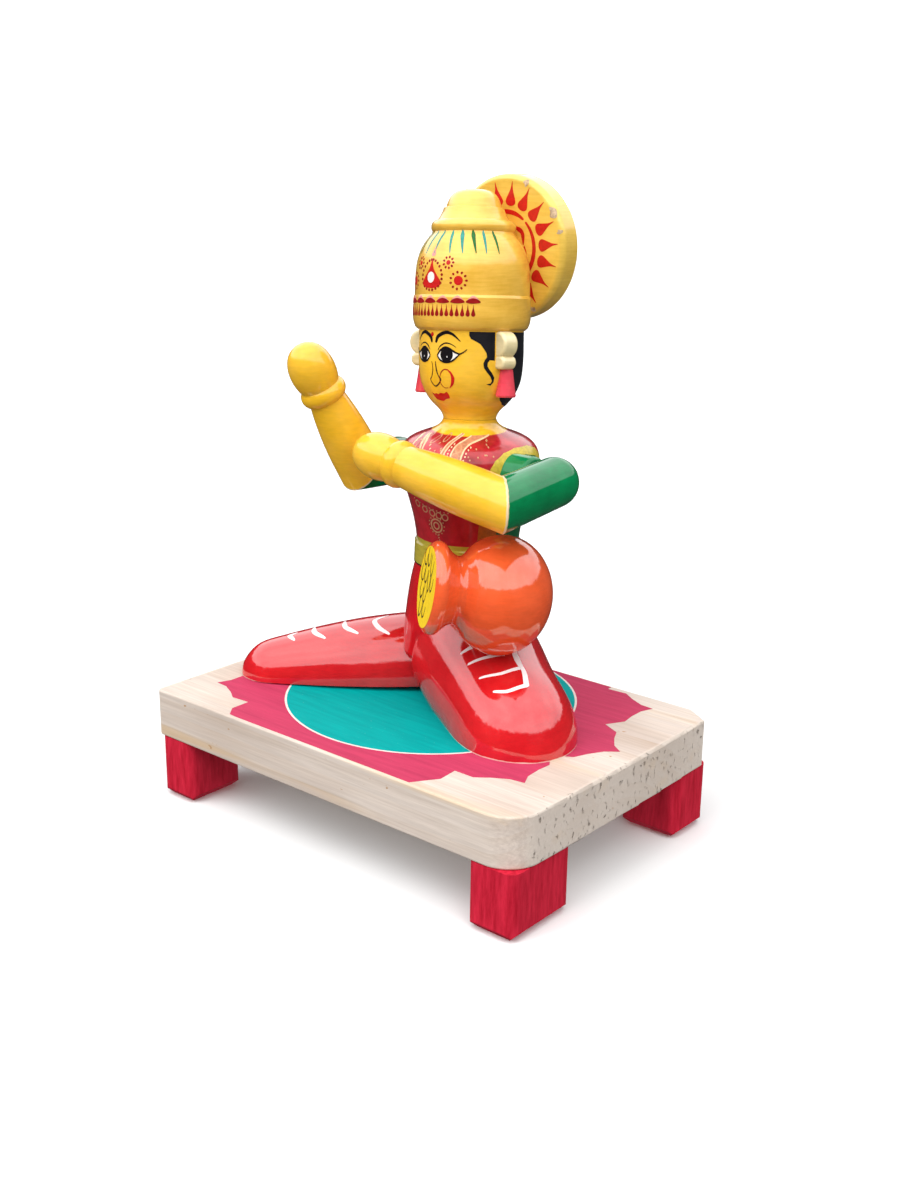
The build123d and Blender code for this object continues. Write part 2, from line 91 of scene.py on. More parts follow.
# -------- materials
class Shader:
    """A node material with short ways to add the nodes that this scene uses."""

    def __init__(self, name):
        self.material = bpy.data.materials.new(name)
        self.material.use_nodes = True
        self.tree = self.material.node_tree
        self.tree.nodes.clear()
        self.output = self.node("ShaderNodeOutputMaterial")
        self.surface = self.node("ShaderNodeBsdfPrincipled")
        self.link(self.surface, "BSDF", self.output, "Surface")
        self.place = self.node("ShaderNodeTexCoord")

    def node(self, kind, **settings):
        made = self.tree.nodes.new(kind)
        for key, value in settings.items():
            setattr(made, key, value)
        return made

    def link(self, source, output, target, entry):
        self.tree.links.new(source.outputs[output], target.inputs[entry])

    def position(self, scale=(1, 1, 1), shift=(0, 0, 0)):
        """Object coordinates, which are the row frame in metres, scaled and shifted."""
        mapping = self.node("ShaderNodeMapping")
        mapping.inputs["Scale"].default_value = scale
        mapping.inputs["Location"].default_value = shift
        self.link(self.place, "Object", mapping, "Vector")
        return mapping

    def noise(self, size, detail=3.0, roughness=0.55, stretch=(1, 1, 1), shift=(0, 0, 0)):
        """Noise whose grains are about size metres across."""
        made = self.node("ShaderNodeTexNoise")
        made.inputs["Scale"].default_value = 1 / size
        made.inputs["Detail"].default_value = detail
        made.inputs["Roughness"].default_value = roughness
        self.link(self.position(stretch, shift), "Vector", made, "Vector")
        return made

    def axes(self):
        """The X, Y and Z of a place in the row frame."""
        made = self.node("ShaderNodeSeparateXYZ")
        self.link(self.place, "Object", made, "Vector")
        return made

    def calculate(self, operation, *values):
        """A maths node; each value is a number or a (node, output) pair."""
        made = self.node("ShaderNodeMath", operation=operation)
        for entry, value in enumerate(values):
            if isinstance(value, tuple):
                self.link(value[0], value[1], made, entry)
            else:
                made.inputs[entry].default_value = value
        return made

    def step(self, source, output, from_value, to_value):
        """0 up to one value and 1 from the other, with a straight slope between them."""
        made = self.node("ShaderNodeMapRange", clamp=True)
        made.inputs["From Min"].default_value = from_value
        made.inputs["From Max"].default_value = to_value
        self.link(source, output, made, "Value")
        return made

    def ramp(self, source, output, low, high, start=(0, 0, 0), end=(1, 1, 1)):
        """A soft step from one colour to another between two values."""
        made = self.node("ShaderNodeValToRGB")
        made.color_ramp.elements[0].position = low
        made.color_ramp.elements[0].color = (*start, 1)
        made.color_ramp.elements[1].position = high
        made.color_ramp.elements[1].color = (*end, 1)
        self.link(source, output, made, "Fac")
        return made

    def mix(self, factor, factor_output, first, second, blend="MIX", amount=1.0):
        """Mixes two colours; first and second are colours or (node, output) pairs."""
        made = self.node("ShaderNodeMix", data_type="RGBA", blend_type=blend)
        if factor is None:
            made.inputs[0].default_value = amount
        else:
            self.link(factor, factor_output, made, 0)
        for socket, value in ((6, first), (7, second)):
            if isinstance(value[0], bpy.types.Node):
                self.link(value[0], value[1], made, socket)
            else:
                made.inputs[socket].default_value = (*value, 1)
        return made

    def color(self, made, output=2):
        self.link(made, output, self.surface, "Base Color")

    def bump(self, source, output, strength, distance):
        made = self.node("ShaderNodeBump")
        made.inputs["Strength"].default_value = strength
        made.inputs["Distance"].default_value = distance
        self.link(source, output, made, "Height")
        if self.surface.inputs["Normal"].is_linked:
            previous = self.surface.inputs["Normal"].links[0].from_node
            self.link(previous, "Normal", made, "Normal")
        self.link(made, "Normal", self.surface, "Normal")
        return made

    def gloss(self, roughness, coat=0.0, coat_roughness=0.1, coat_ior=1.5, metallic=0.0, specular=0.15):
        for entry, value in (("Roughness", roughness), ("Coat Weight", coat), ("Coat IOR", coat_ior),
                             ("Coat Roughness", coat_roughness), ("Metallic", metallic),
                             ("Specular IOR Level", specular)):
            self.surface.inputs[entry].default_value = value


def darker(color, share):
    return tuple(channel * share for channel in color)


def toward(color, other, share):
    return tuple(a + (b - a) * share for a, b in zip(color, other))


def lacquer(name, color, deep=0.62, light=0.12, ripple=0.35, coat_ior=1.8, coat_roughness=0.07,
            bare_below=None, elbow=None):
    """Thick hand-rubbed lacquer: cloudy colour, faint turning marks and a wet, slightly wavy coat."""
    made = Shader(name)
    cloud = made.noise(14 * MM, detail=4)
    shade = made.ramp(cloud, "Fac", 0.3, 0.72, darker(color, deep), toward(color, (1, 0.8, 0.6), light))
    streak = made.noise(1.6 * MM, detail=3, stretch=(0.35, 0.35, 1.6))
    fine = made.ramp(streak, "Fac", 0.35, 0.7, darker(color, 0.8), color)
    tone = made.mix(None, None, (shade, "Color"), (fine, "Color"), amount=0.45)
    if bare_below is not None:
        tone = made.mix(above(made, bare_below), "Result", (0.78, 0.62, 0.50), (tone, 2))
    if elbow is not None:
        tone = made.mix(glue_line(made, *elbow), "Result", (tone, 2), (0.72, 0.55, 0.33))
    made.color(tone)
    made.gloss(0.5, coat=1.0, coat_roughness=coat_roughness, coat_ior=coat_ior, specular=0.0)
    made.bump(made.noise(11 * MM, detail=1), "Fac", ripple, 1.3 * MM)
    made.bump(made.noise(2.6 * MM, detail=4, roughness=0.62), "Fac", ripple, 0.22 * MM)
    made.bump(made.noise(0.7 * MM, detail=2), "Fac", 0.16, 0.05 * MM)
    return made.material


def gilt(name, color):
    """Gold paint over turned wood, brushed round the axis, dull and dirty in places."""
    made = Shader(name)
    cloud = made.noise(11 * MM, detail=5, roughness=0.6)
    shade = made.ramp(cloud, "Fac", 0.32, 0.70, darker(color, 0.80), toward(color, (1.0, 0.80, 0.22), 0.3))
    brush = made.noise(2.2 * MM, detail=5, stretch=(0.25, 0.25, 3.0))
    line = made.ramp(brush, "Fac", 0.35, 0.68, darker(color, 0.78), toward(color, (1.0, 0.80, 0.25), 0.2))
    base = made.mix(None, None, (shade, "Color"), (line, "Color"), amount=0.4)
    dirt = made.ramp(made.noise(5 * MM, detail=6, roughness=0.7), "Fac", 0.66, 0.80)
    made.color(made.mix(dirt, "Color", (base, 2), darker(color, 0.45)))
    made.gloss(0.36, coat=0.9, coat_roughness=0.14, coat_ior=1.65, metallic=0.10, specular=0.3)
    made.bump(brush, "Fac", 0.16, 0.12 * MM)
    made.bump(made.noise(7 * MM, detail=2), "Fac", 0.22, 0.35 * MM)
    return made.material


def paint(name, color, gloss=0.35, coat=0.35, vary=0.78):
    """Brush paint in thin strokes, a little uneven in tone."""
    made = Shader(name)
    tone = made.noise(1.3 * MM, detail=4, roughness=0.6)
    made.color(made.ramp(tone, "Fac", 0.32, 0.68, darker(color, vary), color), "Color")
    made.gloss(gloss, coat=coat, coat_roughness=0.12)
    made.bump(tone, "Fac", 0.12, 0.05 * MM)
    return made.material


def board_paint(name, color):
    """Flat poster paint on pine: the grain shows through as fine lines and thin spots."""
    made = Shader(name)
    grain = made.noise(3.0 * MM, detail=5, roughness=0.65, stretch=(0.12, 1.4, 1))
    tone = made.ramp(grain, "Fac", 0.30, 0.70, darker(color, 0.84), darker(color, 1.06))
    speck = made.noise(0.7 * MM, detail=2)
    worn = made.ramp(speck, "Fac", 0.70, 0.80)
    made.color(made.mix(worn, "Color", (tone, "Color"), toward(color, PINE, 0.15)))
    made.gloss(0.7, coat=0.03, coat_roughness=0.3, specular=0.02)
    made.bump(grain, "Fac", 0.2, 0.12 * MM)
    return made.material


def pine():
    """Planed pine with flat-sawn grain along X, resin flecks, and rough pitted end grain."""
    made = Shader("pine")
    rings = made.node("ShaderNodeTexWave", wave_type="RINGS", rings_direction="X", wave_profile="SAW")
    rings.inputs["Scale"].default_value = 62.0
    rings.inputs["Distortion"].default_value = 3.2
    rings.inputs["Detail"].default_value = 2.5
    rings.inputs["Detail Scale"].default_value = 0.8
    made.link(made.position((0.16, 1, 1), (0, 0.021, 0.035)), "Vector", rings, "Vector")
    early = made.ramp(rings, "Fac", 0.15, 0.95, PINE, toward(PINE, (0.42, 0.27, 0.16), 0.75))
    fibre = made.noise(1.1 * MM, detail=6, roughness=0.7, stretch=(0.03, 1, 1))
    fine = made.ramp(fibre, "Fac", 0.30, 0.72, toward(PINE, (0.30, 0.22, 0.16), 0.6), PINE)
    wood = made.mix(None, None, (early, "Color"), (fine, "Color"), amount=0.55)
    pale = made.ramp(made.noise(38 * MM, detail=2, stretch=(0.3, 1, 1)), "Fac", 0.35, 0.7)
    sapwood = made.ramp(fibre, "Fac", 0.3, 0.7, PINE, toward(PINE, (0.95, 0.86, 0.76), 0.6))
    wood = made.mix(pale, "Color", (wood, 2), (sapwood, "Color"))
    long_cloud = made.noise(15 * MM, detail=4, stretch=(0.07, 1, 1.3), shift=(0, 0, 0.02))
    heart = made.ramp(long_cloud, "Fac", 0.56, 0.70, (0, 0, 0), (0.45, 0.45, 0.45))
    wood = made.mix(heart, "Color", (wood, 2), (0.60, 0.40, 0.19))
    fleck = made.ramp(made.noise(2.3 * MM, detail=2, stretch=(0.5, 1, 1)), "Fac", 0.735, 0.77)
    wood = made.mix(fleck, "Color", (wood, 2), (0.42, 0.24, 0.12))
    # End grain: only close to the stand's two sawn ends.
    from_middle = made.calculate("ABSOLUTE", (made.axes(), "X"))
    is_end = made.step(from_middle, 0, BOARD_HIGH[0] - 2.2 * MM, BOARD_HIGH[0] - 1.2 * MM)
    pits = made.noise(1.7 * MM, detail=4, roughness=0.6, stretch=(1, 1, 0.6))
    hole = made.ramp(pits, "Fac", 0.61, 0.75)
    end_tone = made.mix(hole, "Color", toward(PINE, (0.80, 0.72, 0.62), 0.4), (0.42, 0.31, 0.21))
    end_wood = made.mix(None, None, (end_tone, 2), (wood, 2), amount=0.45)
    made.color(made.mix(is_end, "Result", (wood, 2), (end_wood, 2)))
    made.gloss(0.55, coat=0.08, coat_roughness=0.35)
    made.bump(fibre, "Fac", 0.25, 0.12 * MM)
    pit_depth = made.calculate("MULTIPLY", (hole, "Color"), (is_end, "Result"))
    flipped = made.calculate("SUBTRACT", 1.0, (pit_depth, 0))
    made.bump(flipped, 0, 1.0, 1.1 * MM)
    return made.material


def foot_paint():
    """Crimson water paint on sawn wood, streaky and rubbed bare in small spots."""
    made = Shader("crimson")
    streak = made.noise(1.8 * MM, detail=5, roughness=0.65, stretch=(1, 1, 0.14))
    bright = toward(CRIMSON, (0.85, 0.06, 0.12), 0.25)
    tone = made.ramp(streak, "Fac", 0.28, 0.72, darker(CRIMSON, 0.62), bright)
    bare = made.ramp(made.noise(2.6 * MM, detail=5, roughness=0.7), "Fac", 0.74, 0.80)
    made.color(made.mix(bare, "Color", (tone, "Color"), toward(CRIMSON, PINE, 0.35)))
    made.gloss(0.6, coat=0.0, specular=0.08)
    made.bump(streak, "Fac", 0.45, 0.25 * MM)
    return made.material


def bamboo():
    made = Shader("bamboo")
    fibre = made.noise(0.6 * MM, detail=5, stretch=(0.15, 1, 1))
    made.color(made.ramp(fibre, "Fac", 0.3, 0.7, (0.42, 0.27, 0.12), (0.72, 0.55, 0.32)), "Color")
    made.gloss(0.5)
    made.bump(fibre, "Fac", 0.3, 0.08 * MM)
    return made.material


def above(made, height, soft=0.15 * MM):
    """1 above a height in the row frame, 0 below it, with a slightly uneven edge."""
    uneven = made.noise(6 * MM, detail=3)
    wobble = made.calculate("MULTIPLY_ADD", (uneven, "Fac"), 0.8 * MM, (made.axes(), "Z"))
    return made.step(wobble, 0, height + 0.4 * MM - soft, height + 0.4 * MM + soft)


def glue_line(made, elbow, across):
    """1 beside the plane through an elbow that faces across, in an uneven line."""
    apart = made.node("ShaderNodeVectorMath", operation="DOT_PRODUCT")
    made.link(made.place, "Object", apart, 0)
    apart.inputs[1].default_value = across
    drift = made.noise(2.2 * MM, detail=4)
    uneven = made.calculate("MULTIPLY_ADD", (drift, "Fac"), 0.9 * MM, -elbow.dot(across) - 0.45 * MM)
    shifted = made.calculate("ADD", (apart, "Value"), (uneven, 0))
    distance = made.calculate("ABSOLUTE", (shifted, 0))
    return made.step(distance, 0, 0.50 * MM, 0.32 * MM)


def elbow_joint(side):
    """Where a forearm meets its upper arm: a point, and the way the flat end face looks."""
    low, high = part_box(side + "_elbow_dowel")
    shares = {}
    for face in frame["nodes"][side + "_forearm"].data.polygons:
        looks = tuple(round(part, 2) for part in face.normal)
        shares[looks] = shares.get(looks, 0) + face.area
    across = Vector(max(shares, key=shares.get)).normalized()
    return (Vector(low) + Vector(high)) / 2, across


def silk():
    """The bodice: dark red silk paint between a bare neck and the top of the belt."""
    made = Shader("silk")
    cloud = made.noise(8 * MM, detail=5, roughness=0.6)
    tone = made.ramp(cloud, "Fac", 0.3, 0.7, darker(SILK, 0.6), toward(SILK, (0.70, 0.03, 0.05), 0.5))
    brush = made.noise(2.0 * MM, detail=4, stretch=(0.4, 0.4, 2.0))
    skin = made.ramp(brush, "Fac", 0.3, 0.7, darker(SKIN, 0.82), SKIN)
    belt = made.ramp(brush, "Fac", 0.3, 0.7, darker(OLIVE, 0.75), OLIVE)
    lower = made.mix(above(made, BODICE_HEM), "Result", (belt, "Color"), (tone, "Color"))
    made.color(made.mix(above(made, NECKLINE), "Result", (lower, 2), (skin, "Color")))
    made.gloss(0.4, coat=1.0, coat_roughness=0.14, coat_ior=1.6, specular=0.0)
    made.bump(made.noise(6 * MM, detail=2), "Fac", 0.3, 0.4 * MM)
    made.bump(made.noise(0.8 * MM, detail=3), "Fac", 0.35, 0.12 * MM)
    return made.material


def skirt():
    """The hip block: red lacquer below, an olive belt above, and a thin dark line between them."""
    made = Shader("skirt")
    cloud = made.noise(10 * MM, detail=4)
    red = made.ramp(cloud, "Fac", 0.3, 0.72, darker(RED, 0.72), RED)
    brush = made.noise(2.0 * MM, detail=4, stretch=(0.4, 0.4, 2.0))
    belt = made.ramp(brush, "Fac", 0.3, 0.7, darker(OLIVE, 0.75), OLIVE)
    line = made.mix(above(made, BELT_FOOT - 0.5 * MM), "Result", (red, "Color"), INK)
    made.color(made.mix(above(made, BELT_FOOT), "Result", (line, 2), (belt, "Color")))
    made.gloss(0.4, coat=1.0, coat_roughness=0.12, coat_ior=1.6, specular=0.0)
    made.bump(made.noise(6 * MM, detail=2), "Fac", 0.3, 0.4 * MM)
    return made.material


MATERIALS = {
    "skin": lacquer("skin", SKIN, deep=0.84, light=0.12, ripple=0.22, coat_ior=1.6, coat_roughness=0.10),
    "gold": gilt("gold", GOLD),
    "halo_gold": gilt("halo_gold", HALO_GOLD),
    "red": lacquer("red", RED, deep=0.72, light=0.02, ripple=0.85, coat_ior=1.9, coat_roughness=0.08,
                   bare_below=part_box("right_leg")[0][2] + 0.25 * MM),
    "silk": silk(),
    "skirt": skirt(),
    "green": lacquer("green", GREEN, deep=0.6, light=0.03, ripple=0.8, coat_ior=1.45, coat_roughness=0.09),
    "orange": lacquer("orange", ORANGE, deep=0.78, light=0.04, ripple=0.7, coat_ior=1.9,
                      coat_roughness=0.09),
    "cream": lacquer("cream", CREAM, deep=0.82, light=0.2, ripple=0.2, coat_roughness=0.2),
    "pink": lacquer("pink", PINK, deep=0.75, light=0.12, ripple=0.25, coat_roughness=0.12),
    "crimson": foot_paint(),
    "pine": pine(),
    "bamboo": bamboo(),
    "hair": lacquer("hair", HAIR, deep=0.6, light=0.02, ripple=0.3, coat_ior=1.35, coat_roughness=0.2),
    "yellow_paint": paint("yellow_paint", (0.90, 0.62, 0.012), gloss=0.6, coat=0.0, vary=0.85),
    "chipped": paint("chipped", (0.66, 0.47, 0.30), gloss=0.7, coat=0.0, vary=0.45),
    "teal": board_paint("teal", TEAL),
    "lotus": board_paint("lotus", LOTUS),
    "chalk": board_paint("chalk", (0.80, 0.70, 0.66)),
}

# Brush paints: a name, a colour, and how pale or dark the thin spots get.
for name, color, vary in (
    ("ink", INK, 0.78),
    ("brown_ink", BROWN_INK, 0.78),
    ("white", PAPER_WHITE, 0.88),
    ("stroke_white", (0.90, 0.86, 0.86), 0.9),
    ("red_paint", (0.62, 0.012, 0.010), 0.75),
    ("dark_red", (0.36, 0.008, 0.008), 0.6),
    ("pink_wash", (0.78, 0.30, 0.26), 0.85),
    ("piping", (0.66, 0.50, 0.05), 0.7),
    ("green_paint", (0.004, 0.15, 0.05), 0.6),
    ("leaf_teal", (0.03, 0.30, 0.24), 0.7),
    ("leaf_green", (0.01, 0.15, 0.02), 0.6),
    ("gold_thread", (0.84, 0.60, 0.36), 0.75),
    ("dull_gold", (0.62, 0.33, 0.17), 0.7),
    ("gold_wash", (0.62, 0.25, 0.13), 0.6),
    # shadow_skin: the skin colour darkened as painted shade, for the bare midriff under the arms
    ("shadow_skin", (0.45, 0.13, 0.02), 0.7),
):
    MATERIALS[name] = paint(name, color, vary=vary)
for side in ("left", "right"):
    seam = elbow_joint(side)
    MATERIALS[side + "_arm_skin"] = lacquer(side + "_arm_skin", ARM_SKIN, deep=0.82, light=0.10, ripple=0.3,
                                            coat_ior=1.6, coat_roughness=0.12, elbow=seam)
    MATERIALS[side + "_sleeve"] = lacquer(side + "_sleeve", GREEN, deep=0.55, light=0.0, ripple=1.0,
                                          coat_ior=1.45, coat_roughness=0.08, elbow=seam)

SLOT_LOOKS = {
    "pine": "pine", "crimson_lacquer": "crimson", "red_lacquer": "red", "yellow_lacquer": "skin",
    "green_lacquer": "green", "orange_lacquer": "orange", "cream_paint": "cream",
    "pink_paint": "pink", "bamboo": "bamboo",
}
NODE_LOOKS = {
    "torso": "silk", "hip_block": "skirt", "crown": "gold", "halo": "halo_gold",
    "left_forearm": "left_arm_skin", "right_forearm": "right_arm_skin",
    "left_upper_arm": "left_sleeve", "right_upper_arm": "right_sleeve",
}


def dress_nodes():
    """Gives every CAD node its material."""
    for part in frame["record"]["subparts"]:
        look = NODE_LOOKS.get(part["node"], SLOT_LOOKS[part["material_slot"]])
        shown = frame["nodes"][part["node"]]
        shown.data.materials.clear()
        shown.data.materials.append(MATERIALS[look])


dress_nodes()


# -------- surfaces to paint on
class Surface:
    """A CAD node seen through two paint coordinates. cast(u, v) gives a ray that meets it.

    u is scaled by width_of_u so that outlines can be drawn in true millimetres.
    """

    def __init__(self, node, cast, width_of_u=1.0):
        shown = frame["nodes"][node]
        points = [vertex.co.copy() for vertex in shown.data.vertices]
        faces = [tuple(face.vertices) for face in shown.data.polygons]
        self.tree = BVHTree.FromPolygons(points, faces)
        self.cast = cast
        self.width_of_u = width_of_u

    def flat(self, u, v):
        return Vector((u * self.width_of_u, v))

    def land(self, point):
        """The place on the node under a flat point in mm, and the way out of the surface."""
        start, direction = self.cast(point[0] / self.width_of_u, point[1])
        place = self.tree.ray_cast(start, direction)[0]
        return place, -direction


REACH = 80 * MM                  # rays start this far outside a piece
FACE_RADIUS = 19.3               # mm, where widths drawn on each turned piece are true
CROWN_RADIUS = 21.0
BODICE_RADIUS = 23.0


def round_axis(node, origin, axis, radius):
    """Paint coordinates round a turned node: degrees from the front towards its left, and
    height in mm along its axis. radius, in mm, is where drawn widths are true."""
    sideways = Vector((axis.z, 0, -axis.x)).normalized()
    back = axis.cross(sideways)

    def cast(angle, height):
        turn = math.radians(angle)
        outward = sideways * math.sin(turn) - back * math.cos(turn)
        start = origin + axis * (height * MM - origin.z) + outward * REACH
        return start, -outward

    return Surface(node, cast, math.radians(radius))


def from_above(node):
    """Paint coordinates seen from above: x and y in mm."""
    return Surface(node, lambda x, y: (Vector((x * MM, y * MM, 2 * REACH)), -UP))


def from_front(node, centre):
    """Paint coordinates seen from the front: right and up of a centre, in mm."""

    def cast(right, rise):
        return Vector((centre.x + right * MM, centre.y - REACH, centre.z + rise * MM)), Vector((0, 1, 0))

    return Surface(node, cast)


def along(node, centre, axis):
    """Paint coordinates on a face that looks along an axis, in mm from a centre."""
    rise = (UP - axis * axis.z).normalized()
    right = rise.cross(axis)
    return Surface(node, lambda u, v: (centre + right * (u * MM) + rise * (v * MM) + axis * REACH, -axis))


# -------- outlines, in true mm
def curve_through(points, closed, steps=8):
    """Catmull-Rom curve through the points."""
    count = len(points)
    made = []
    spans = count if closed else count - 1
    for i in range(spans):
        if closed:
            a, b, c, d = (points[(i + k) % count] for k in (-1, 0, 1, 2))
        else:
            a, b, c, d = (points[min(max(i + k, 0), count - 1)] for k in (-1, 0, 1, 2))
        for step in range(steps):
            t = step / steps
            made.append(0.5 * (2 * b + (c - a) * t + (2 * a - 5 * b + 4 * c - d) * t * t
                               + (3 * b - a - 3 * c + d) * t * t * t))
    if not closed:
        made.append(points[-1].copy())
    return made


def region(surface, points, smooth=True):
    """A closed area through paint coordinates."""
    flat = [surface.flat(*point) for point in points]
    return curve_through(flat, closed=True) if smooth else flat


def straight_regions(surface, shapes):
    """Closed areas whose corners stay sharp."""
    return [region(surface, shape, smooth=False) for shape in shapes]


def oval(surface, centre, across, tall, turn=0.0, count=24):
    """An ellipse with half sizes in mm."""
    middle = surface.flat(*centre)
    made = []
    for k in range(count):
        angle = 2 * math.pi * k / count
        spot = Vector((across * math.cos(angle), tall * math.sin(angle)))
        spot.rotate(Matrix.Rotation(math.radians(turn), 2))
        made.append(middle + spot)
    return made


def stroke(surface, points, widths, ends=True):
    """A brush stroke through paint coordinates, with full widths in mm along its length."""
    line = curve_through([surface.flat(*point) for point in points], closed=False)
    left, right = [], []
    last = len(line) - 1
    for i, spot in enumerate(line):
        ahead = line[min(i + 1, last)] - line[max(i - 1, 0)]
        if ahead.length < 1e-9:
            continue
        side = Vector((-ahead.y, ahead.x)).normalized()
        place = i / last * (len(widths) - 1)
        low = min(int(place), len(widths) - 2)
        half = (widths[low] + (widths[low + 1] - widths[low]) * (place - low)) / 2
        left.append(spot + side * half)
        right.append(spot - side * half)
    outline = left + right[::-1]
    if ends and widths[-1] > 0.3:
        tip = line[-1] + (line[-1] - line[-3]).normalized() * widths[-1] * 0.45
        outline = left + [tip] + right[::-1]
    if ends and widths[0] > 0.3:
        outline.append(line[0] + (line[0] - line[2]).normalized() * widths[0] * 0.45)
    return outline


def drop(surface, tip, base, wide):
    """A teardrop from a sharp tip to a round base, with its full width in mm."""
    start, end = surface.flat(*tip), surface.flat(*base)
    length = (end - start).length
    ahead = (end - start).normalized()
    side = Vector((-ahead.y, ahead.x))
    made = []
    profile = ((0.0, 0.0), (0.3, 0.22), (0.55, 0.62), (0.75, 0.96), (0.87, 0.98), (0.96, 0.66), (1.0, 0.0))
    for share, half in profile:
        made.append(start + ahead * (length * share) + side * (wide / 2 * half))
    for share, half in profile[-2:0:-1]:
        made.append(start + ahead * (length * share) - side * (wide / 2 * half))
    return curve_through(made, closed=True, steps=4)


# -------- films
def show(made):
    bpy.context.scene.collection.objects.link(made)


def inside(point, outline):
    found = False
    for a, b in zip(outline, outline[1:] + outline[:1]):
        if (a.y > point.y) != (b.y > point.y):
            if point.x < a.x + (point.y - a.y) * (b.x - a.x) / (b.y - a.y):
                found = not found
    return found


def cleaned(outline):
    """Drops points that almost repeat the one before."""
    made = []
    for point in outline:
        if not made or (point - made[-1]).length > 0.02:
            made.append(point)
    if len(made) > 2 and (made[0] - made[-1]).length < 0.02:
        made.pop()
    return made


def divided(outline, longest):
    """Adds points along long straight edges, so that a film can follow a curved surface."""
    made = []
    for a, b in zip(outline, outline[1:] + outline[:1]):
        steps = max(1, math.ceil((b - a).length / longest))
        made += [a.lerp(b, k / steps) for k in range(steps)]
    return made


FILM_SUNK = 0.04 * MM


def film(name, surface, outlines, look, body, layer=0, cell=1.2):
    """Paint on a surface: every outline becomes a thin closed skin. A higher layer lies on top."""
    lift = (0.07 + 0.05 * layer) * MM
    points, faces = [], []
    for outline in outlines:
        outline = divided(cleaned(outline), cell)
        count = len(outline)
        if count < 3:
            continue
        low = Vector((min(p.x for p in outline), min(p.y for p in outline)))
        high = Vector((max(p.x for p in outline), max(p.y for p in outline)))
        inner = []
        u = low.x + cell / 2
        while u < high.x:
            v = low.y + cell / 2
            while v < high.y:
                spot = Vector((u, v))
                if inside(spot, outline):
                    inner.append(spot)
                v += cell
            u += cell
        edges = [(i, (i + 1) % count) for i in range(count)]
        flat, _, triangles, _, _, _ = delaunay_2d_cdt(outline + inner, edges, [], 1, 1e-5)
        used = sorted({i for triangle in triangles for i in triangle})
        index, top, bottom = {}, [], []
        for i in used:
            place, outward = surface.land(flat[i])
            if place is None:
                continue
            index[i] = len(top)
            top.append(place + outward * lift)
            bottom.append(place - outward * FILM_SUNK)
        kept = [t for t in triangles if all(i in index for i in t)]
        base = len(points)
        shift = len(top)
        points += top + bottom
        borders = {}
        for t in kept:
            a, b, c = (index[i] for i in t)
            normal = (top[b] - top[a]).cross(top[c] - top[a])
            outward = surface.land(flat[t[0]])[1]
            if normal.dot(outward) < 0:
                b, c = c, b
            faces.append((base + a, base + b, base + c))
            faces.append((base + shift + a, base + shift + c, base + shift + b))
            for edge in ((a, b), (b, c), (c, a)):
                borders[edge] = True
        for a, b in borders:
            if (b, a) not in borders:
                faces.append((base + b, base + a, base + shift + a, base + shift + b))
    mesh = bpy.data.meshes.new(name)
    mesh.from_pydata(points, [], faces)
    mesh.materials.append(MATERIALS[look])
    made = bpy.data.objects.new(name, mesh)
    show(made)
    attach(made, body)
    return made


# -------- face
FACE_MIDDLE = -4.6               # the face is painted a little towards the figure's right
HAIR_TOP = 183.4


def mirrored(points):
    """The same marks on the other side of the face."""
    return [(2 * FACE_MIDDLE - angle, *rest) for angle, *rest in points]


